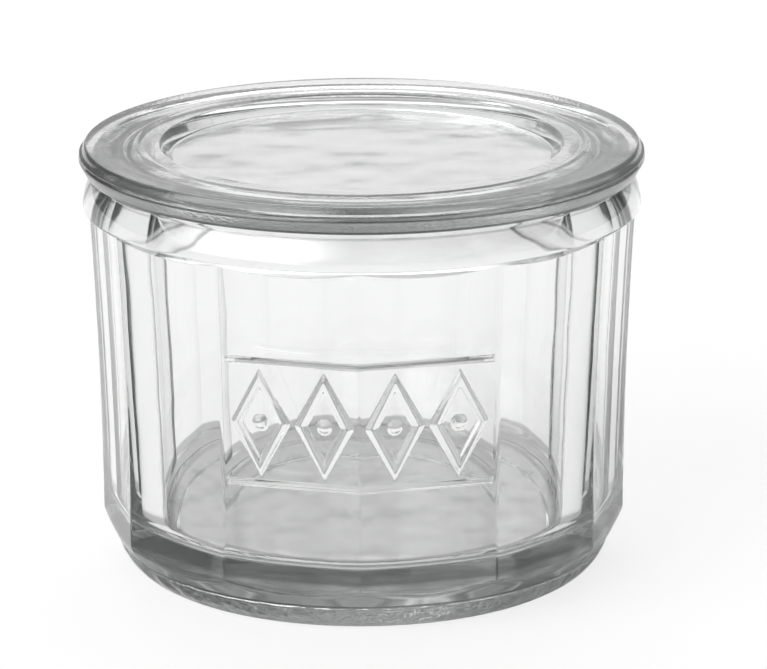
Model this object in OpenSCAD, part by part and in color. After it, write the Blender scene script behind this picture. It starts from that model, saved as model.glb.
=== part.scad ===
// Pressed-glass salt cellar: a thick twelve-sided jar and a loose lid.
// Millimetres, +Z up, the origin at the centre of the foot, the ribbed front facing -Y.

/* [Jar] */
// Height of the jar, from the table to its rim
jar_h = 77.6; // [66:0.1:100]
// Number of flat panels round the jar
panel_count = 12; // [8:2:16]
// Radius over the panel corners at the foot
corner_r = 50.4; // [47:0.1:60]
// How far the panel corners lean outwards below the collar
flare = 1.8; // [0.6:0.1:3]
// Glass thickness at the middle of a panel, near the foot
wall_t = 6.2; // [4:0.1:8]
// Glass thickness of the floor
floor_t = 11; // [8:0.1:14]
// Radius of the inside corner between floor and wall
floor_round = 4; // [2:0.1:8]

/* [Foot] */
// Height at which the panel corners end above the table
corner_foot_h = 8.9; // [8.4:0.1:12]
// Height of the edge where the heel turns under
heel_edge_h = 7.2; // [6:0.1:7.8]
// How far the heel edge lies inside the panel corners
heel_edge_in = 2.8; // [2:0.1:4]
// How far the standing ring lies inside the panel corners
foot_in = 7.4; // [6:0.1:10]
// How far the heel bulges out between its edge and the standing ring
heel_bulge = 1.2; // [0.2:0.1:1.6]
// Width of the standing ring
foot_ring_w = 6; // [3:0.1:10]
// Depth of the hollow inside the standing ring
foot_hollow = 0.7; // [0.3:0.1:2]

/* [Collar] */
// Height of the collar, from its lower edge to the rim
collar_h = 6.8; // [5:0.1:10]
// How far the collar stands out from the panel corners
collar_out = 0.9; // [0.4:0.1:2]
// Radius of the collar's bulge, seen in profile
collar_bulge_r = 10.7; // [10.2:0.1:20]
// Angle of the collar's underside, below the horizontal
collar_under_a = 37; // [20:1:50]
// Rounding of the rim's edges
rim_round = 0.6; // [0.3:0.1:1]
// How much wider the inside is at the mouth than above the floor, on the radius
mouth_out = 2.5; // [1:0.1:3.5]
// Depth of the straight mouth below the rim
mouth_h = 4; // [3.5:0.1:8]

/* [Front ribs] */
// Height of the lower rib's middle above the table
rib_low_z = 28.9; // [20:0.1:36]
// Distance between the middles of the two ribs
rib_gap = 23.5; // [12:0.1:26]
// Width of a rib
rib_w = 1.4; // [0.5:0.1:2]
// How far a rib stands out from the panels
rib_out = 0.5; // [0.3:0.1:0.8]
// How far a rib's ends stop short of the panel corners
rib_end_in = 1; // [0.5:0.1:3]

/* [Lid] */
// Thickness of the lid's rim, above the seat
lid_t = 5.2; // [4:0.1:8]
// How far the lid's widest line stands out from the collar
lid_out = 0.7; // [0.3:0.1:2]
// Height of the widest line above the seat
lid_edge_h = 1.6; // [1.2:0.1:2]
// How far the lid's bottom edge lies inside its widest line
lid_low_in = 1.4; // [0.8:0.1:1.8]
// How far the lid's top edge lies inside its widest line
lid_top_in = 0.7; // [0.4:0.1:1.4]
// Rounding of the lid's top edge
lid_top_round = 1; // [0.6:0.1:1.6]
// Width of the raised outer band on top of the lid
band_w = 3.4; // [2.5:0.1:5]
// Depth of the step inside the outer band
band_step = 0.5; // [0.2:0.1:0.8]
// Width of the low channel inside the outer band
channel_w = 4; // [2:0.1:5]
// Width of the raised bead inside the channel
bead_w = 6.2; // [4:0.1:8]
// Depth of the central dish below the top
dish_depth = 2.7; // [1.5:0.1:3.5]
// Width of the slope round the central dish
dish_slope_w = 1.2; // [0.6:0.1:3]
// Play between the locating plug and the mouth, on the radius
plug_fit = 0.8; // [0.3:0.1:1.5]
// Depth of the locating plug below the seat
plug_h = 3; // [2:0.1:3.4]
// Rounding of the locating plug's lower edge
plug_round = 0.8; // [0.4:0.1:1.2]

/* [Hidden] */

// How far a cutting shape runs past what it cuts
overrun = 2;
// Steps in each round stretch of a profile
arc_steps = 8;
// Smoothness of the revolved shapes
$fn = 128;

panel_a = 360 / panel_count;
panel_share = cos(panel_a / 2);
collar_z = jar_h - collar_h;
collar_r = corner_r + flare + collar_out;
cavity_r = corner_r * panel_share - wall_t;
mouth_r = cavity_r + mouth_out;
foot_r = corner_r - foot_in;
heel_edge_r = corner_r - heel_edge_in;
lid_r = collar_r + lid_out;
lid_low_r = lid_r - lid_low_in;
plug_r = mouth_r - plug_fit;
plug_z = jar_h - plug_h;
lid_top_z = jar_h + lid_t;
glass = [0.84, 0.89, 0.9];

// Points on an arc, from angle a0 to angle a1
function arc_points(c, r, a0, a1, steps = arc_steps) =
    [for (i = [0 : steps]) let (a = a0 + (a1 - a0) * i / steps) c + r * [cos(a), sin(a)]];

// Points on a flat bow from p to q, which stands out to the right of the way by the given height
function bow_points(p, q, height, steps = arc_steps) =
    let (way = q - p, side = [way[1], -way[0]] / norm(way))
    [for (i = [0 : steps]) let (t = i / steps) p + way * t + side * height * 4 * t * (1 - t)];

// Radius over the panel corners at a height
function corner_at(z) =
    corner_r + flare * pow(max(0, z - corner_foot_h) / (collar_z - corner_foot_h), 2);

// A slab between two opposite panels, with both faces leaning out towards the top
module panel_pair(out) {
    top_z = collar_z + collar_h / 5;
    heights = [for (i = [0 : arc_steps]) corner_foot_h + (collar_z - corner_foot_h) * i / arc_steps];
    levels = concat([0], heights, [top_z]);
    side = [for (z = levels) [corner_at(min(z, collar_z)) * panel_share + out, z]];
    other = [for (i = [len(side) - 1 : -1 : 0]) [-side[i][0], side[i][1]]];
    rotate([90, 0, 0])
        linear_extrude(height = 2 * collar_r + overrun, center = true)
            polygon(concat(side, other));
}

// The panelled body; the corners lie on the X and Y axes, so one faces the front
module panelled(out = 0) {
    intersection_for (i = [0 : panel_count / 2 - 1])
        rotate([0, 0, panel_a * (i + 1 / 2)])
            panel_pair(out);
}

// Everything below the collar lies inside this: the heel, and a cone that ends the panel corners
module heel_limit() {
    slope = heel_edge_in / (corner_foot_h - heel_edge_h);
    rise = jar_h - heel_edge_h;
    rotate_extrude()
        polygon(concat(
            [[0, 0]],
            bow_points([foot_r, 0], [heel_edge_r, heel_edge_h], heel_bulge),
            [[heel_edge_r + slope * rise, jar_h], [0, jar_h]]));
}

module collar() {
    centre = [collar_r - collar_bulge_r, collar_z];
    top_a = asin((collar_h - rim_round) / collar_bulge_r);
    rim_out_r = centre[0] + collar_bulge_r * cos(top_a);
    rotate_extrude()
        polygon(concat(
            [[0, collar_z - (collar_r - cavity_r) * tan(collar_under_a)]],
            [[cavity_r, collar_z - (collar_r - cavity_r) * tan(collar_under_a)]],
            arc_points(centre, collar_bulge_r, 0, top_a),
            arc_points([rim_out_r - rim_round, jar_h - rim_round], rim_round, 30, 90, 4),
            [[0, jar_h]]));
}

module cavity() {
    rotate_extrude()
        polygon(concat(
            [[0, floor_t]],
            arc_points([cavity_r - floor_round, floor_t + floor_round], floor_round, -90, 0),
            [[mouth_r, jar_h - mouth_h]],
            arc_points([mouth_r + rim_round, jar_h - rim_round], rim_round, 180, 90, 4),
            [[mouth_r + rim_round, jar_h + overrun], [0, jar_h + overrun]]));
}

module foot_hollow_cut() {
    hollow_r = foot_r - foot_ring_w;
    rotate_extrude()
        polygon([
            [0, -overrun],
            [hollow_r, -overrun],
            [hollow_r, 0],
            [hollow_r - 2 * foot_hollow, foot_hollow],
            [0, foot_hollow]]);
}

// One raised rib across the two front panels, bent at the corner between them
module front_rib(z) {
    reach = corner_at(z) * sin(panel_a) - rib_end_in;
    intersection() {
        panelled(rib_out);
        translate([-reach, -corner_at(z) - overrun, z - rib_w / 2])
            cube([2 * reach, corner_at(z) + overrun - cavity_r / 2, rib_w]);
    }
}

module jar() {
    color(glass)
        difference() {
            union() {
                intersection() {
                    panelled();
                    heel_limit();
                }
                collar();
                front_rib(rib_low_z);
                front_rib(rib_low_z + rib_gap);
            }
            cavity();
            foot_hollow_cut();
        }
}

module lid() {
    top_r = lid_r - lid_top_in;
    band_r = top_r - band_w;
    channel_r = band_r - channel_w;
    dish_r = channel_r - bead_w;
    edge_z = jar_h + lid_edge_h;
    dish_z = lid_top_z - dish_depth;
    top_shape = concat(
        arc_points([top_r - lid_top_round, lid_top_z - lid_top_round], lid_top_round, 15, 90, 5),
        bow_points([band_r, lid_top_z - band_step / 4], [channel_r, lid_top_z - band_step], -band_step / 2),
        bow_points([channel_r, lid_top_z - band_step], [dish_r, lid_top_z - band_step], band_step),
        [[dish_r - dish_slope_w, dish_z], [0, dish_z]]);
    under_shape = concat(
        [[0, plug_z]],
        arc_points([plug_r - plug_round, plug_z + plug_round], plug_round, 270, 360, 4),
        [[plug_r, jar_h], [lid_low_r, jar_h], [lid_r, edge_z]]);
    color(glass)
        rotate_extrude()
            polygon(concat(under_shape, top_shape));
}

jar();
lid();
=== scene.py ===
"""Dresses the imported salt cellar: clear pressed glass on a pale floor under soft studio light."""

import math

import bpy
import numpy as np
from mathutils import Matrix, Vector


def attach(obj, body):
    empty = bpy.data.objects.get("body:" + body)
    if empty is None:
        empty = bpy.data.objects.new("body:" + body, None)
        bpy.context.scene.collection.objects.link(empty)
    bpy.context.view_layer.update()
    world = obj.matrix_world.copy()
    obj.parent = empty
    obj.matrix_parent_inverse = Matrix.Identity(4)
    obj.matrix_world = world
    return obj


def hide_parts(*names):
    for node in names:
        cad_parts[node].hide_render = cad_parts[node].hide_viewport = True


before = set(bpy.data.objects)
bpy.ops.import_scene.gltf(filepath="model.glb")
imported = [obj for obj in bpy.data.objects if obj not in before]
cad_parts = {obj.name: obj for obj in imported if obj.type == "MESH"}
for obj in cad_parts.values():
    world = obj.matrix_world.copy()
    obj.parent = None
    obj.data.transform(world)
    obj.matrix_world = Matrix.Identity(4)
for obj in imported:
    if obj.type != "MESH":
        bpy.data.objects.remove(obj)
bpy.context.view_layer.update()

MM = 0.001

# The jar, in millimetres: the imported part's own sizes, apart from the ribs, which stand out 0.2 further here
JAR_H = 77.6
PANELS = 12
CORNER_R = 50.4
FLARE = 1.8
WALL_T = 6.2
FLOOR_T = 11.0
FLOOR_ROUND = 4.0
CORNER_FOOT_H = 8.9
HEEL_EDGE_H = 7.2
HEEL_EDGE_IN = 2.8
FOOT_IN = 7.4
HEEL_BULGE = 1.2
FOOT_RING_W = 6.0
FOOT_HOLLOW = 0.7
COLLAR_H = 6.8
COLLAR_OUT = 0.9
COLLAR_BULGE_R = 10.7
COLLAR_UNDER_A = 37.0
RIM_ROUND = 0.6
MOUTH_OUT = 2.5
MOUTH_H = 4.0
RIB_LOW_Z = 28.9
RIB_GAP = 23.5
RIB_W = 1.4
RIB_OUT = 0.7
RIB_END_IN = 1.0

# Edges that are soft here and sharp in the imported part: the panel corners, the foot of the panels, the hollow
# under the foot, the standing ring and the collar's lower edge
CORNER_ROUND = 1.7
CREASE = 1.0
HOLLOW_ROUND = 1.5
RING_ROUND = 0.8
COLLAR_EDGE = 0.35

# The gap between the rim and the lid, which keeps the two glass faces apart
RIM_GAP = 0.03

# The mould seam round the heel: its height, its depth, how far it wanders up and down, how much its depth
# varies, and its section, as heights with shares of the depth
SEAM_H = 4.9
SEAM_DEPTH = 0.12
SEAM_LUMP = 0.12
SEAM_DEPTH_LUMP = 0.6
SEAM = [(-0.3, 0), (-0.12, 0.3), (0.0, 1), (0.12, 0.3), (0.3, 0)]

# The random waves behind the seam's wandering: their seed, how many go round the jar, and the least height
WAVE_SEED = 11
WAVES = range(12, 90, 2)
LEAST_WAVE = 0.3

# The lid, in millimetres. Its widest line, top edge, outer band and dish slope follow a later fit than the
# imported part's.
LID_T = 5.2
LID_OUT = 0.7
LID_EDGE_H = 2.55
LID_LOW_IN = 1.4
LID_TOP_IN = 1.25
LID_TOP_ROUND = 0.5
BAND_W = 3.95
BAND_STEP = 0.5
CHANNEL_W = 4.0
BEAD_W = 6.2
BEAD_LOW = 0.36
DISH_DEPTH = 2.7
DISH_SLOPE_W = 2.2
PLUG_FIT = 0.8
PLUG_H = 3.0
PLUG_ROUND = 0.8

# The lid's side above its widest line: height above the seat, and how far it stands out from a straight side
LID_SIDE = [(3.2, 0), (3.5, 0.3), (3.6, 0.27), (3.92, -0.08), (4.5, 0)]

# The fine rings on the lid's bead: distance inwards from the channel, and height above the bead
BEAD_RINGS = [(0.9, 0), (1.5, 0.02), (1.8, 0.12), (2.1, 0.14), (2.4, 0.12), (2.7, 0.02), (3.3, 0), (4.4, 0)]

# Roundings of the lid's lower edges, widest line, side, bead and dish
LID_LOW_ROUND = 0.25
LID_EDGE_ROUND = 0.5
LID_SIDE_ROUND = 0.08
BEAD_ROUND = 0.3
DISH_ROUND = 1.0

HALF_PANEL = math.pi / PANELS
UNDER_SLOPE = math.tan(math.radians(COLLAR_UNDER_A))
COLLAR_Z = JAR_H - COLLAR_H
COLLAR_R = CORNER_R + FLARE + COLLAR_OUT
CAVITY_R = CORNER_R * math.cos(HALF_PANEL) - WALL_T
MOUTH_R = CAVITY_R + MOUTH_OUT
FOOT_R = CORNER_R - FOOT_IN
HEEL_EDGE_R = CORNER_R - HEEL_EDGE_IN
RIB_HEIGHTS = (RIB_LOW_Z, RIB_LOW_Z + RIB_GAP)

# The ornament between the ribs: a row of lozenges, each with a bead in its middle
LOZENGE_X = (-18.6, -6.6, 6.6, 18.6)
LOZENGE_Z = RIB_LOW_Z + RIB_GAP / 2
LOZENGE_HALF_W = 4.4
LOZENGE_HALF_H = 8.4
STROKE_HALF_W = 0.85
STROKE_OUT = 0.7
BEAD_R = 1.3

# How full the sections of the ribs and of the strokes are: below 1, the sides get steeper and the top flatter
RIB_POWER = 0.8
STROKE_POWER = 0.7

# The mesh's columns: those near a panel corner, in degrees from it, how many of them a fine panel keeps, how
# many follow up to the middle of a plain and of a fine panel, and those round the lid
NEAR_CORNER = [0, 0.08, 0.17, 0.26, 0.36, 0.5, 0.8]
FINE_NEAR = 5
PLAIN_COLUMNS = 11
FINE_COLUMNS = 63
LID_COLUMNS = 360

# The mesh's rows on a panel: how many over the whole panel, how far apart on the ornament, how many on a rib
# and how far up and down from its middle, how near to that a row counts as on the rib, and the least distance
# between two rows, on a rib and elsewhere
PANEL_ROWS = 30
LOZENGE_ROW = 0.3
RIB_ROWS = 17
RIB_REACH = 0.8
NEAR_RIB = 0.85
LEAST_ON_RIB = 0.09
LEAST_ROW = 0.25

# How far the rows on a panel stay clear of the crease and of the collar, and how far those on the ornament go
# past it
ABOVE_CREASE = 0.3
BELOW_COLLAR = 3
PAST_LOZENGE = 2

# The mesh's steps on each stretch of the profiles, the radius of the row next to the axis, and the longest
# step on the lid
FLAT_STEPS = 12
FOOT_STEPS = 4
HEEL_STEPS = 24
CREASE_STEPS = 8
BULGE_STEPS = 14
RIM_STEPS = 4
RIM_TOP_STEPS = 2
LIP_STEPS = 5
MOUTH_STEPS = 5
WALL_STEPS = 24
FLOOR_ROUND_STEPS = 14
LID_ROUND_STEPS = 5
BAND_STEPS = 4
CHANNEL_STEPS = 10
DISH_STEPS = 6
AXIS_GAP = 2
LONGEST_STEP = 3.0

# Rows as shares of the way: up the heel above the seam, from the last panel row to the collar, and under it
HEEL_SHARES = (0.1, 0.3, 0.5, 0.7, 0.9)
PANEL_TOP_SHARES = (0.35, 0.7, 0.93, 1)
UNDER_SHARES = (0.08, 0.5, 1)

# How far a flat stretch starts past the rounding before it: on top of the rim and of the lid, in the mouth,
# on the floor and in the dish
PAST_RIM = 0.1
PAST_LIP = 0.2
PAST_FLOOR_ROUND = 0.5
PAST_DISH_ROUND = 1

# The way in which the heel leaves the standing ring, the first of its points past the ring's rounding, how
# far the rows below the seam stay clear of it, and how far inside the ring the underside's flat rows end
HEEL_WAY = (1.5, 1.3)
PAST_RING = 4
BELOW_SEAM = 0.4
FLAT_END_IN = 4

# How far before the dish the lid's bead is flat
BEAD_END = 0.6

# How far below the collar the first guess at the panels' tops lies, and how many guesses follow
FIRST_GUESS = 2.0
GUESSES = 12

# The turn from the collar's underside into its bulge: two points, as distances inside the widest line and
# heights above it, then the angle at which the bulge starts, and the one at which the rim's rounding starts
COLLAR_TURN = [(0.1, -0.45 * COLLAR_EDGE * UNDER_SLOPE), (0.01, 0.05)]
BULGE_FROM_A = 2.5
RIM_FROM_A = 38

# The glass: how it bends light and darkens with depth, its mould ripples, and its roughness outside the zones
GLASS_IOR = 1.52
GLASS_DENSITY = 20.0
GLASS_TINT = (0.5, 0.52, 0.51, 1)
RIPPLE = 0.26
PLAIN_ROUGH = 0.01

# The textures behind the bumps: their detail and roughness, and the scale of each with its height in metres
TEXTURE_DETAIL = 1.0
TEXTURE_ROUGH = 0.45
TEXTURES = {
    "ripple": (70.0, 0.0004),
    "lumps": (350.0, 0.0004),
    "grain": (1500.0, 0.00008),
}

# Zones of the glass, in millimetres: between two heights and beyond a radius, or for a front zone beyond a
# distance towards the front. A zone's edge says over how much it fades, and a fade replaces that on the inner
# side. Each zone may add a ripple, lumps, a grain, some roughness, or a painted shade: how much it darkens the
# glass's colour where it lies. That is painted shade, in place of the dark lines and bands that the glass's
# bending and inner mirroring of light would give.
JAR_ZONES = [
    dict(low=-1.0, high=1.2, beyond=0, edge=0.3, ripple=1.0, rough=0.12),
    dict(low=0.2, high=4.9, beyond=40, edge=0.2, ripple=4.0, lumps=2.0, grain=1.0, rough=0.04),
    dict(low=4.9, high=11.0, beyond=46.5, edge=1.0, rough=0.12),
    # Painted shade: a dark line just above the mould seam, in place of the dark line its bending of light gives
    dict(low=5.05, high=5.35, beyond=46.5, edge=0.1, painted_shade=0.8),
    # Painted shade: a soft dark band over the floor's outer ring and its rounding inside the jar
    dict(low=10.5, high=13.0, beyond=39, edge=0.8, fade=2.5, painted_shade=0.7),
    dict(low=71.2, high=77.0, beyond=51, edge=0.5, ripple=1.0, rough=0.07),
    # Painted shade: a grey line round the collar just under the lid's edge
    dict(low=76.32, high=76.55, beyond=49, edge=0.15, painted_shade=0.45),
    # Painted shade: the upper rib on the two front panels darkened, in place of the dark its bending of light
    # gives
    dict(low=52.3, high=52.8, beyond=46, edge=0.2, front=True, painted_shade=0.65),
]
LID_ZONES = [
    dict(low=78.2, high=80.1, beyond=52, edge=0.3, grain=1.0, rough=0.20),
    dict(low=74.0, high=74.7, beyond=0, edge=0.3, ripple=0.8, rough=0.08),
    dict(low=81.5, high=83.0, beyond=38.5, edge=0.3, grain=0.4, rough=0.06),
    # Painted shade: a black line along the lid's lower edge, where it sits on the rim
    dict(low=77.5, high=78.1, beyond=52, edge=0.1, painted_shade=0.9),
    # Painted shade: two dark lines on the lid's side, in place of the dark lines its bending of light gives
    dict(low=80.10, high=80.38, beyond=52, edge=0.08, painted_shade=0.85),
    dict(low=80.86, high=81.14, beyond=52, edge=0.08, painted_shade=0.85),
]

# The studio: the floor's half width, tone and roughness, how much of it is plain white to the camera and to
# the glass, the room's own light, and each soft light's azimuth, elevation, inner and outer half angle and
# strength
FLOOR_HALF = 3.0
FLOOR_TONE = (0.95, 0.95, 0.95, 1)
FLOOR_ROUGH = 0.9
WHITE = (1, 1, 1, 1)
WHITE_TO_CAMERA = 0.8
WHITE_TO_GLASS = 0.45
ROOM_LIGHT = 0.25
SOFT_LIGHTS = [
    (222, 20, 22, 42, 4.2),
    (92, 64, 12, 36, 2.2),
    (90, 18, 8, 30, 0.42),
    (104, 32, 4, 14, 1.2),
]

# The photograph's view: where the eye stands, and how the picture lies round the jar's axis
PHOTO_W = 767
PHOTO_H = 669
AIM_Z = 0.0416
EYE_DISTANCE = 0.870
EYE_ELEVATION = 16.14
EYE_AZIMUTH = 0.74
EYE_ROLL = -0.28
FOCAL_PX = 4523
AIM_PX = (362.7, 347.1)
SENSOR = 36.0
CLIP_START = 0.01

# How often light may bounce, pass through glass, and be mirrored
BOUNCES = 24
MIRROR_BOUNCES = 12


def arc(centre, r, a0, a1, steps):
    """Points on an arc in the profile plane, between two angles in degrees."""
    angles = np.radians(np.linspace(a0, a1, steps + 1))
    return [(centre[0] + r * math.cos(a), centre[1] + r * math.sin(a)) for a in angles]


def line(p, q, steps):
    """Points on a straight stretch from p to q, both ends included."""
    return [(p[0] + (q[0] - p[0]) * t, p[1] + (q[1] - p[1]) * t) for t in np.linspace(0, 1, steps + 1)]


def bow(p, q, height, steps):
    """Points from p to q on a flat curve that stands out to the right of the way."""
    p, q = Vector(p), Vector(q)
    way = q - p
    side = Vector((way.y, -way.x)).normalized()
    return [tuple(p + way * t + side * height * 4 * t * (1 - t)) for t in np.linspace(0, 1, steps + 1)]


def rounded(points, radii, steps):
    """An open outline whose inner corners are rounded with the given radii."""
    nearly_straight = math.pi / 2 - 0.01
    out = [points[0]]
    for before, at, after, r in zip(points, points[1:], points[2:], radii):
        b, c, d = Vector(before), Vector(at), Vector(after)
        u, v = (b - c).normalized(), (d - c).normalized()
        half = math.acos(max(-1, min(1, u.dot(v)))) / 2
        if r <= 0 or half > nearly_straight:
            out.append(at)
            continue
        reach = r / math.tan(half)
        centre = c + (u + v).normalized() * (r / math.sin(half))
        start, end = c + u * reach - centre, c + v * reach - centre
        turn = start.angle_signed(end)
        for i in range(steps + 1):
            out.append(tuple(centre + Matrix.Rotation(-turn * i / steps, 2) @ start))
    out.append(points[-1])
    return out


def corner_at(z):
    """Radius over the panel corners at a height."""
    share = np.clip((z - CORNER_FOOT_H) / (COLLAR_Z - CORNER_FOOT_H), 0, 1)
    return CORNER_R + FLARE * share**2


def corner_share(off):
    """Radius of the rounded polygon over the sharp corner's radius, by the angle from the nearest corner."""
    flat = CORNER_R * math.cos(HALF_PANEL)
    centre = (flat - CORNER_ROUND) / math.cos(HALF_PANEL)
    end = math.atan2(CORNER_ROUND * math.sin(HALF_PANEL), centre + CORNER_ROUND * math.cos(HALF_PANEL))
    off = np.abs(off)
    on_flat = flat / np.cos(HALF_PANEL - off)
    on_round = centre * np.cos(off) + np.sqrt(np.maximum(CORNER_ROUND**2 - (centre * np.sin(off)) ** 2, 0))
    return np.where(off > end, on_flat, on_round) / CORNER_R


def column_angles():
    """Angles round the jar from the front corner: close together at corners and on the two front panels."""
    near = np.radians(NEAR_CORNER)
    plain = np.concatenate([near, np.linspace(near[-1], HALF_PANEL, PLAIN_COLUMNS + 1)[1:]])
    near = near[:FINE_NEAR]
    fine = np.concatenate([near, np.linspace(near[-1], HALF_PANEL, FINE_COLUMNS + 1)[1:]])
    angles = []
    for i in range(PANELS):
        corner = 2 * HALF_PANEL * i
        after = fine if i in (0, PANELS - 1) else plain
        before = fine if i in (0, 1) else plain
        angles.extend(corner - before[::-1][:-1])
        angles.extend(corner + after)
    return np.unique(np.round(np.mod(angles, 2 * math.pi), 7))


def relief(x, z):
    """How far the ribs and the ornament stand out, by the place on the two front panels."""
    out = np.zeros(np.broadcast(x, z).shape)
    end_x = 2 * CORNER_R * math.sin(HALF_PANEL) - RIB_END_IN
    ends = np.clip((end_x - np.abs(x)) / (RIB_W / 2), 0, 1)
    for rib_z in RIB_HEIGHTS:
        near = np.clip(1 - ((z - rib_z) / (RIB_W / 2)) ** 2, 0, 1)
        out = np.maximum(out, RIB_OUT * near**RIB_POWER * np.sqrt(ends))
    slope = math.hypot(1 / LOZENGE_HALF_W, 1 / LOZENGE_HALF_H)
    for centre in LOZENGE_X:
        dx, dz = np.abs(x - centre), np.abs(z - LOZENGE_Z)
        from_edge = np.abs(dx / LOZENGE_HALF_W + dz / LOZENGE_HALF_H - 1) / slope
        for off in (from_edge / STROKE_HALF_W, np.hypot(dx, dz) / BEAD_R):
            out = np.maximum(out, STROKE_OUT * np.clip(1 - off**2, 0, 1) ** STROKE_POWER)
    return out


def grid_mesh(name, columns, rows_r, rows_z):
    """A closed solid of rows round the Z axis. The first and last row lie on it and become one point each."""
    n = len(columns)
    across = np.sin(columns)
    along = -np.cos(columns)
    inner_r, inner_z = rows_r[1:-1], rows_z[1:-1]
    verts = np.stack([inner_r * across, inner_r * along, inner_z], -1).reshape(-1, 3)
    first, last = len(verts), len(verts) + 1
    verts = np.concatenate([verts, [[0, 0, rows_z[0, 0]], [0, 0, rows_z[-1, 0]]]]) * MM
    i = np.arange(n)
    j = (i + 1) % n
    faces = []
    for k in range(len(inner_r) - 1):
        a, b = k * n, (k + 1) * n
        faces.extend(np.stack([a + i, a + j, b + j, b + i], -1).tolist())
    faces.extend(np.stack([j, i, np.full(n, first)], -1).tolist())
    top = (len(inner_r) - 1) * n
    faces.extend(np.stack([top + i, top + j, np.full(n, last)], -1).tolist())
    mesh = bpy.data.meshes.new(name)
    mesh.from_pydata(verts.tolist(), [], faces)
    mesh.validate()
    mesh.polygons.foreach_set("use_smooth", [True] * len(mesh.polygons))
    mesh.update()
    piece = bpy.data.objects.new(name, mesh)
    bpy.context.scene.collection.objects.link(piece)
    return piece


def panel_heights():
    """Heights of the rows on a panel: close together where the ribs and the ornament are."""
    low, high = CORNER_FOOT_H + CREASE + ABOVE_CREASE, COLLAR_Z - BELOW_COLLAR
    lozenge_reach = LOZENGE_HALF_H + PAST_LOZENGE
    heights = [
        np.linspace(low, high, PANEL_ROWS),
        np.arange(LOZENGE_Z - lozenge_reach, LOZENGE_Z + lozenge_reach, LOZENGE_ROW)]
    for z in RIB_HEIGHTS:
        heights.append(z + np.linspace(-RIB_REACH, RIB_REACH, RIB_ROWS))
    heights = np.unique(np.round(np.concatenate(heights), 2))
    keep = [heights[0]]
    for z in heights[1:]:
        on_rib = any(abs(z - rib) < NEAR_RIB for rib in RIB_HEIGHTS)
        if z - keep[-1] > (LEAST_ON_RIB if on_rib else LEAST_ROW):
            keep.append(z)
    return np.array(keep)


def wobble(columns):
    """A smooth random value between about -1 and 1 for every column, the same at each run."""
    rng = np.random.default_rng(WAVE_SEED)
    total = np.zeros(len(columns))
    for waves in WAVES:
        total += rng.uniform(LEAST_WAVE, 1) * np.sin(waves * columns + rng.uniform(0, 2 * math.pi))
    return total / np.abs(total).max()


def same_all_round(points, columns):
    """Rows of the jar where its profile is the same at every column."""
    n = len(columns)
    return [(np.full(n, r), np.full(n, z)) for r, z in points]


def heel_outline():
    """The heel's profile, from the standing ring to the edge below the panels."""
    return bow((FOOT_R, 0), (HEEL_EDGE_R, HEEL_EDGE_H), HEEL_BULGE, HEEL_STEPS)


def foot_outline():
    """The profile from the axis under the floor round the standing ring, and up the heel to the seam."""
    hollow_r = FOOT_R - FOOT_RING_W
    up_the_heel = (FOOT_R + HEEL_WAY[0], HEEL_WAY[1])
    ring = rounded(
        [(0, FOOT_HOLLOW), (hollow_r - 2 * FOOT_HOLLOW, FOOT_HOLLOW), (hollow_r, 0), (FOOT_R, 0),
         up_the_heel],
        [HOLLOW_ROUND, RING_ROUND, RING_ROUND], FOOT_STEPS)[:-1]
    hollow = line((AXIS_GAP, FOOT_HOLLOW), (hollow_r - FLAT_END_IN, FOOT_HOLLOW), FLAT_STEPS)
    heel = [p for p in heel_outline()[PAST_RING:] if p[1] < SEAM_H - BELOW_SEAM]
    return [ring[0]] + hollow + ring[1:] + heel


def seam_rows(columns, seam_r):
    """The mould seam, a fine groove that wanders a little round the heel."""
    lumps = wobble(columns)
    rows = []
    for z, cut in SEAM:
        depth = SEAM_DEPTH * cut * (1 + SEAM_DEPTH_LUMP * lumps)
        rows.append((seam_r - depth, SEAM_H + z + SEAM_LUMP * lumps))
    return rows


def crease_rows(share, seam_r, seam_top):
    """The heel above the seam, and the soft crease where it meets the panels, which scallops the corners."""
    slope = HEEL_EDGE_IN / (CORNER_FOOT_H - HEEL_EDGE_H)
    low_r = CORNER_R * share
    low_z = HEEL_EDGE_H + (low_r - HEEL_EDGE_R) / slope
    bend = 1 - CREASE / (low_z - seam_top)
    rows = []
    for t in HEEL_SHARES:
        rows.append((seam_r + (low_r - seam_r) * bend * t, seam_top + (low_z - seam_top) * bend * t))
    start_r, start_z = seam_r + (low_r - seam_r) * bend, low_z - CREASE
    end_r, end_z = corner_at(low_z + CREASE) * share, low_z + CREASE
    for t in np.linspace(0, 1, CREASE_STEPS + 1):
        a, b, c = (1 - t) ** 2, 2 * t * (1 - t), t**2
        rows.append((a * start_r + b * low_r + c * end_r, a * start_z + b * low_z + c * end_z))
    return rows


def panel_tops(share):
    """Radius and height at which each column meets the cone of the collar's underside, found step by step."""
    top_z = np.full(len(share), COLLAR_Z - FIRST_GUESS)
    for _ in range(GUESSES):
        top_r = corner_at(top_z) * share
        top_z = COLLAR_Z - (COLLAR_R - top_r) * UNDER_SLOPE
    return top_r, top_z


def panel_rows(columns, share, top_z):
    """The panels, with the relief on the two front ones, up to the collar's underside."""
    turned = np.abs(np.mod(columns + math.pi, 2 * math.pi) - math.pi)
    front = turned < 2 * HALF_PANEL
    from_middle = np.mod(turned, 2 * HALF_PANEL) - HALF_PANEL
    from_corner = math.tan(HALF_PANEL) - np.tan(HALF_PANEL - turned)
    x = np.sign(np.sin(columns)) * CORNER_R * math.cos(HALF_PANEL) * from_corner
    rows = []
    for level in panel_heights():
        row_z = np.full(len(columns), level)
        stands_out = np.where(front, relief(x, row_z), 0) / np.cos(from_middle)
        rows.append((corner_at(row_z) * share + stands_out, row_z))
    last_z = rows[-1][1]
    for t in PANEL_TOP_SHARES:
        z = last_z + (top_z - last_z) * t
        rows.append((corner_at(z) * share, z))
    return rows


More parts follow.
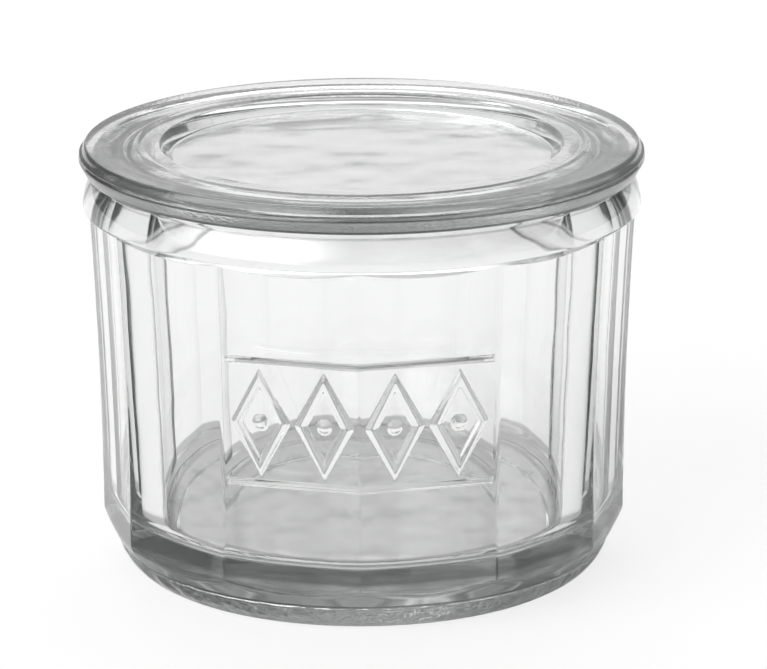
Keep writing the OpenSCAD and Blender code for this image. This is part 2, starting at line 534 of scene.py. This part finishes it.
def under_collar_rows(top_r, top_z):
    """The collar's underside, from the panels out to its soft lower edge."""
    edge_r, edge_z = COLLAR_R - COLLAR_EDGE, COLLAR_Z - COLLAR_EDGE * UNDER_SLOPE
    return [(top_r + (edge_r - top_r) * t, top_z + (edge_z - top_z) * t) for t in UNDER_SHARES]


def collar_outline():
    """The profile from the collar's lower edge up its bulge, over the rim and down the inside to the axis."""
    centre = (COLLAR_R - COLLAR_BULGE_R, COLLAR_Z)
    top_a = math.degrees(math.asin((COLLAR_H - RIM_ROUND) / COLLAR_BULGE_R))
    rim_r = centre[0] + COLLAR_BULGE_R * math.cos(math.radians(top_a)) - RIM_ROUND
    rim_z = JAR_H - RIM_GAP
    lip_r = MOUTH_R + RIM_ROUND
    mouth_z = JAR_H - MOUTH_H
    floor_top = FLOOR_T + FLOOR_ROUND
    floor_r = CAVITY_R - FLOOR_ROUND
    out = [(COLLAR_R - inside, COLLAR_Z + up) for inside, up in COLLAR_TURN]
    out += arc(centre, COLLAR_BULGE_R, BULGE_FROM_A, top_a, BULGE_STEPS)
    out += arc((rim_r, rim_z - RIM_ROUND), RIM_ROUND, RIM_FROM_A, 90, RIM_STEPS)
    out += line((rim_r - PAST_RIM, rim_z), (lip_r + PAST_RIM, rim_z), RIM_TOP_STEPS)
    out += arc((lip_r, rim_z - RIM_ROUND), RIM_ROUND, 90, 180, LIP_STEPS)
    out += line((MOUTH_R, JAR_H - RIM_ROUND - PAST_LIP), (MOUTH_R, mouth_z), MOUTH_STEPS)
    out += line((MOUTH_R, mouth_z), (CAVITY_R, floor_top), WALL_STEPS)[1:]
    out += arc((floor_r, floor_top), FLOOR_ROUND, 0, -90, FLOOR_ROUND_STEPS)[1:]
    out += line((floor_r - PAST_FLOOR_ROUND, FLOOR_T), (AXIS_GAP, FLOOR_T), FLAT_STEPS)
    return out + [(0, FLOOR_T)]


def jar_rows(columns):
    """The jar's profile at every column, from under the floor, up the outside and down the inside."""
    share = corner_share(np.mod(columns + HALF_PANEL, 2 * HALF_PANEL) - HALF_PANEL)
    seam_r = min(heel_outline(), key=lambda p: abs(p[1] - SEAM_H))[0]
    top_r, top_z = panel_tops(share)
    rows = same_all_round(foot_outline(), columns)
    rows += seam_rows(columns, seam_r)
    rows += crease_rows(share, seam_r, rows[-1][1])
    rows += panel_rows(columns, share, top_z)
    rows += under_collar_rows(top_r, top_z)
    rows += same_all_round(collar_outline(), columns)
    return np.array([r for r, _ in rows]), np.array([z for _, z in rows])


def lid_side(edge, top):
    """Points between the lid's widest line and its top edge, with the narrow ledge."""
    rise = (Vector(top) - Vector(edge)) / (LID_T - LID_EDGE_H)
    points = []
    for height, out in LID_SIDE:
        at = Vector(edge) + rise * (height - LID_EDGE_H)
        points.append((at.x + out, at.y))
    return points


def lid_outline():
    """The lid's profile, from the middle of its underside round to the middle of its top."""
    lid_r = COLLAR_R + LID_OUT
    plug_r = MOUTH_R - PLUG_FIT
    plug_z = JAR_H - PLUG_H
    top_z = JAR_H + LID_T
    top_r = lid_r - LID_TOP_IN
    band_r = top_r - BAND_W
    channel_r = band_r - CHANNEL_W
    dish_r = channel_r - BEAD_W
    dish_z = top_z - DISH_DEPTH
    bead_z = top_z - BEAD_LOW
    band_z = top_z - BAND_STEP / 4
    edge = (lid_r, JAR_H + LID_EDGE_H)
    side = lid_side(edge, (top_r, top_z))
    flat_r = top_r - 2 * LID_TOP_ROUND
    outside = rounded(
        [(0, plug_z), (plug_r, plug_z), (plug_r, JAR_H), (lid_r - LID_LOW_IN, JAR_H), edge] + side
        + [(top_r, top_z), (flat_r, top_z)],
        [PLUG_ROUND, LID_LOW_ROUND, LID_LOW_ROUND, LID_EDGE_ROUND] + [LID_SIDE_ROUND] * len(side)
        + [LID_TOP_ROUND], LID_ROUND_STEPS)
    bands = line((flat_r - PAST_RIM, top_z), (band_r, band_z), BAND_STEPS)
    bands += bow((band_r, band_z), (channel_r, bead_z), -BAND_STEP / 4, CHANNEL_STEPS)[1:]
    bands += [(channel_r - inwards, bead_z + up) for inwards, up in BEAD_RINGS]
    dish = rounded(
        [(dish_r + BEAD_END, bead_z), (dish_r, bead_z), (dish_r - DISH_SLOPE_W, dish_z), (0, dish_z)],
        [BEAD_ROUND, DISH_ROUND], DISH_STEPS)
    flat = line((dish[-2][0] - PAST_DISH_ROUND, dish_z), (AXIS_GAP, dish_z), FLAT_STEPS)
    return outside + bands + dish[:-1] + flat + [dish[-1]]


def split_long(points):
    """Adds points to the long straight stretches of an outline."""
    out = [points[0]]
    for p, q in zip(points, points[1:]):
        steps = max(1, math.ceil(math.dist(p, q) / LONGEST_STEP))
        out.extend(line(p, q, steps)[1:])
    return out


def make_jar():
    """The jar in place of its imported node."""
    columns = column_angles()
    piece = grid_mesh("jar_glass", columns, *jar_rows(columns))
    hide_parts("jar")
    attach(piece, "jar")
    return piece


def make_lid():
    """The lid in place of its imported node."""
    columns = np.linspace(0, 2 * math.pi, LID_COLUMNS + 1)[:-1]
    outline = split_long(lid_outline())
    r = np.repeat(np.array([[p[0]] for p in outline]), len(columns), 1)
    z = np.repeat(np.array([[p[1]] for p in outline]), len(columns), 1)
    piece = grid_mesh("lid_glass", columns, r, z)
    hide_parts("lid")
    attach(piece, "lid")
    return piece


def add_node(tree, kind, place, **inputs):
    """A shader node with the given input values."""
    node = tree.nodes.new(kind)
    node.location = place
    for name, value in inputs.items():
        node.inputs[name.replace("_", " ")].default_value = value
    return node


def link(tree, source, target):
    """Joins a node's output to another node's input."""
    tree.links.new(source, target)


def set_or_link(tree, value, socket):
    """Gives an input a number, or another node's output."""
    if isinstance(value, float):
        socket.default_value = value
    else:
        link(tree, value, socket)


def smooth_step(tree, value, low, high, place):
    """A factor that rises smoothly from 0 to 1 as the value goes from low to high."""
    step = add_node(tree, "ShaderNodeMapRange", place, From_Min=low, From_Max=high)
    step.interpolation_type = "SMOOTHSTEP"
    link(tree, value, step.inputs["Value"])
    return step.outputs["Result"]


def combine(tree, operation, a, b, place):
    """A maths node on two values, each a number or another node's output."""
    node = add_node(tree, "ShaderNodeMath", place)
    node.operation = operation
    for value, socket in zip((a, b), node.inputs):
        set_or_link(tree, value, socket)
    return node.outputs[0]


def times(tree, a, b, place):
    """The product of two values."""
    return combine(tree, "MULTIPLY", a, b, place)


def plus(tree, a, b, place):
    """The sum of two values."""
    return combine(tree, "ADD", a, b, place)


def vector_node(tree, operation, source, place):
    """A vector maths node on another node's output."""
    node = add_node(tree, "ShaderNodeVectorMath", place)
    node.operation = operation
    link(tree, source, node.inputs[0])
    return node


def zone_factor(tree, height, reach, zone):
    """A factor that is 1 inside a zone and fades to 0 over its edge."""
    low, high, beyond, edge = (zone[key] * MM for key in ("low", "high", "beyond", "edge"))
    above = smooth_step(tree, height, low - edge, low, (-900, 100))
    below = smooth_step(tree, height, high + edge, high, (-900, -100))
    fade = zone.get("fade", zone["edge"]) * MM
    outside = smooth_step(tree, reach, beyond - fade, beyond, (-900, -300))
    return times(tree, times(tree, above, below, (-700, 0)), outside, (-550, 0))


def bump(tree, texture, strength, distance, below, place):
    """A bump from a texture, on top of the bump below. The strength is a number or another node's output."""
    node = add_node(tree, "ShaderNodeBump", place, Distance=distance)
    link(tree, texture.outputs["Fac"], node.inputs["Height"])
    set_or_link(tree, strength, node.inputs["Strength"])
    if below:
        link(tree, below.outputs["Normal"], node.inputs["Normal"])
    return node


def value_node(tree, value, place):
    """The output of a node that holds one number."""
    output = add_node(tree, "ShaderNodeValue", place).outputs[0]
    output.default_value = value
    return output


def glass_textures(tree, place):
    """The noise behind each kind of bump, with the bump's height."""
    textures = {}
    for i, (key, (scale, distance)) in enumerate(TEXTURES.items()):
        at = (-1100, 300 - 300 * i)
        noise = add_node(tree, "ShaderNodeTexNoise", at, Scale=scale, Detail=TEXTURE_DETAIL)
        noise.inputs["Roughness"].default_value = TEXTURE_ROUGH
        link(tree, place, noise.inputs["Vector"])
        textures[key] = (noise, distance)
    return textures


def glass_places(tree, place):
    """How high a point of the glass lies, how far from the Z axis, and how far towards the front."""
    axes = add_node(tree, "ShaderNodeSeparateXYZ", (-1300, 0))
    link(tree, place, axes.inputs[0])
    flat = vector_node(tree, "MULTIPLY", place, (-1300, -200))
    flat.inputs[1].default_value = (1, 1, 0)
    reach = vector_node(tree, "LENGTH", flat.outputs[0], (-1150, -200)).outputs["Value"]
    front = times(tree, axes.outputs["Y"], -1.0, (-1150, -350))
    return axes.outputs["Z"], reach, front


def glass(name, zones):
    """Clear pressed glass with soft ripples from the mould, and each zone's bumps, roughness and painted shade.
    """
    material = bpy.data.materials.new(name)
    material.use_nodes = True
    tree = material.node_tree
    shader = tree.nodes["Principled BSDF"]
    shader.inputs["Base Color"].default_value = WHITE
    shader.inputs["Transmission Weight"].default_value = 1
    shader.inputs["IOR"].default_value = GLASS_IOR
    depth = add_node(tree, "ShaderNodeVolumeAbsorption", (0, -300), Density=GLASS_DENSITY)
    depth.inputs["Color"].default_value = GLASS_TINT
    link(tree, depth.outputs[0], tree.nodes["Material Output"].inputs["Volume"])
    place = add_node(tree, "ShaderNodeTexCoord", (-1500, 0)).outputs["Object"]
    textures = glass_textures(tree, place)
    height, reach, front = glass_places(tree, place)
    normal = bump(tree, textures["ripple"][0], RIPPLE, textures["ripple"][1], None, (-550, 300))
    rough = value_node(tree, PLAIN_ROUGH, (-550, -200))
    # The glass's colour: white, darkened by each zone's painted shade
    clear = value_node(tree, 1, (-550, -500))
    for zone in zones:
        across = front if zone.get("front") else reach
        inside = zone_factor(tree, height, across, zone)
        for key, (texture, distance) in textures.items():
            if key in zone:
                strength = times(tree, inside, zone[key], (-400, 200))
                normal = bump(tree, texture, strength, distance, normal, (-250, 200))
        if "rough" in zone:
            rough = plus(tree, times(tree, inside, zone["rough"], (-400, -200)), rough, (-250, -200))
        # Painted shade: the zone darkens the glass's colour, which tints the light it lets through
        if "painted_shade" in zone:
            left = plus(tree, times(tree, inside, -zone["painted_shade"], (-400, -500)), 1.0, (-250, -500))
            clear = times(tree, clear, left, (-100, -500))
    link(tree, normal.outputs["Normal"], shader.inputs["Normal"])
    link(tree, rough, shader.inputs["Roughness"])
    link(tree, clear, shader.inputs["Base Color"])
    return material


def mix_of(tree, factor, first, second, place):
    """A mix of two shaders."""
    mix = add_node(tree, "ShaderNodeMixShader", place)
    link(tree, factor, mix.inputs["Fac"])
    link(tree, first.outputs[0], mix.inputs[1])
    link(tree, second.outputs[0], mix.inputs[2])
    return mix.outputs[0]


def make_floor():
    """A wide pale floor. The camera and the glass see part of it as plain white, so its shadow stays soft."""
    mesh = bpy.data.meshes.new("floor")
    far = FLOOR_HALF
    mesh.from_pydata([(-far, -far, 0), (far, -far, 0), (far, far, 0), (-far, far, 0)], [], [(0, 1, 2, 3)])
    floor = bpy.data.objects.new("floor", mesh)
    bpy.context.scene.collection.objects.link(floor)
    material = bpy.data.materials.new("pale_floor")
    material.use_nodes = True
    tree = material.node_tree
    shader = tree.nodes["Principled BSDF"]
    shader.inputs["Roughness"].default_value = FLOOR_ROUGH
    shader.inputs["Specular IOR Level"].default_value = 0.0
    shader.inputs["Base Color"].default_value = FLOOR_TONE
    white = add_node(tree, "ShaderNodeEmission", (0, -350), Strength=1.0)
    path = add_node(tree, "ShaderNodeLightPath", (-500, 300))
    seen = times(tree, path.outputs["Is Camera Ray"], WHITE_TO_CAMERA, (-250, 300))
    through = times(tree, path.outputs["Is Transmission Ray"], WHITE_TO_GLASS, (-250, 100))
    share = plus(tree, seen, through, (-50, 200))
    surface = mix_of(tree, share, shader, white, (250, 0))
    link(tree, surface, tree.nodes["Material Output"].inputs["Surface"])
    floor.data.materials.append(material)


def make_world():
    """A dim room with soft lights round it. The camera sees plain white behind the object."""
    world = bpy.data.worlds.new("studio")
    bpy.context.scene.world = world
    world.use_nodes = True
    tree = world.node_tree
    tree.nodes.clear()
    place = add_node(tree, "ShaderNodeTexCoord", (-900, 0)).outputs["Generated"]
    total = ROOM_LIGHT
    for i, (azimuth, elevation, inner, outer, strength) in enumerate(SOFT_LIGHTS):
        az, el = math.radians(azimuth), math.radians(elevation)
        level = math.cos(el)
        towards = vector_node(tree, "DOT_PRODUCT", place, (-700, -200 * i))
        towards.inputs[1].default_value = (math.cos(az) * level, math.sin(az) * level, math.sin(el))
        edge, full = math.cos(math.radians(outer)), math.cos(math.radians(inner))
        glow = smooth_step(tree, towards.outputs["Value"], edge, full, (-500, -200 * i))
        light = times(tree, glow, strength, (-300, -200 * i))
        total = plus(tree, light, total, (-100, -200 * i))
    room = add_node(tree, "ShaderNodeBackground", (200, 0), Color=WHITE)
    link(tree, total, room.inputs["Strength"])
    white = add_node(tree, "ShaderNodeBackground", (200, -150), Color=WHITE, Strength=1.0)
    path = add_node(tree, "ShaderNodeLightPath", (200, 300))
    sky = mix_of(tree, path.outputs["Is Camera Ray"], room, white, (450, 0))
    out = add_node(tree, "ShaderNodeOutputWorld", (650, 0))
    link(tree, sky, out.inputs[0])


def make_camera():
    """The photograph's camera. The picture's middle is not the aim, so the view is turned a little off it."""
    camera_data = bpy.data.cameras.new("photo_view")
    camera_data.sensor_width = SENSOR
    camera_data.lens = SENSOR * FOCAL_PX / PHOTO_W
    camera_data.clip_start = CLIP_START
    camera = bpy.data.objects.new("photo_view", camera_data)
    bpy.context.scene.collection.objects.link(camera)
    bpy.context.scene.camera = camera
    az, el, roll = (math.radians(a) for a in (EYE_AZIMUTH, EYE_ELEVATION, EYE_ROLL))
    back = Vector((math.sin(az) * math.cos(el), -math.cos(az) * math.cos(el), math.sin(el)))
    right = Vector((math.cos(az), math.sin(az), 0))
    up = back.cross(right)
    right, up = right * math.cos(roll) + up * math.sin(roll), up * math.cos(roll) - right * math.sin(roll)
    off_x = (PHOTO_W / 2 - AIM_PX[0]) / FOCAL_PX
    off_y = (AIM_PX[1] - PHOTO_H / 2) / FOCAL_PX
    eye = Vector((0, 0, AIM_Z)) + back * EYE_DISTANCE
    back = (back - right * off_x - up * off_y).normalized()
    right = up.cross(back).normalized()
    up = back.cross(right)
    camera.matrix_world = Matrix((right, up, back)).transposed().to_4x4()
    camera.location = eye


make_camera()
make_world()
make_floor()
jar = make_jar()
lid = make_lid()
jar.data.materials.append(glass("jar_clear_glass", JAR_ZONES))
lid.data.materials.append(glass("lid_clear_glass", LID_ZONES))

scene = bpy.context.scene
scene.view_settings.view_transform = "Standard"
scene.cycles.max_bounces = BOUNCES
scene.cycles.transmission_bounces = BOUNCES
scene.cycles.glossy_bounces = MIRROR_BOUNCES
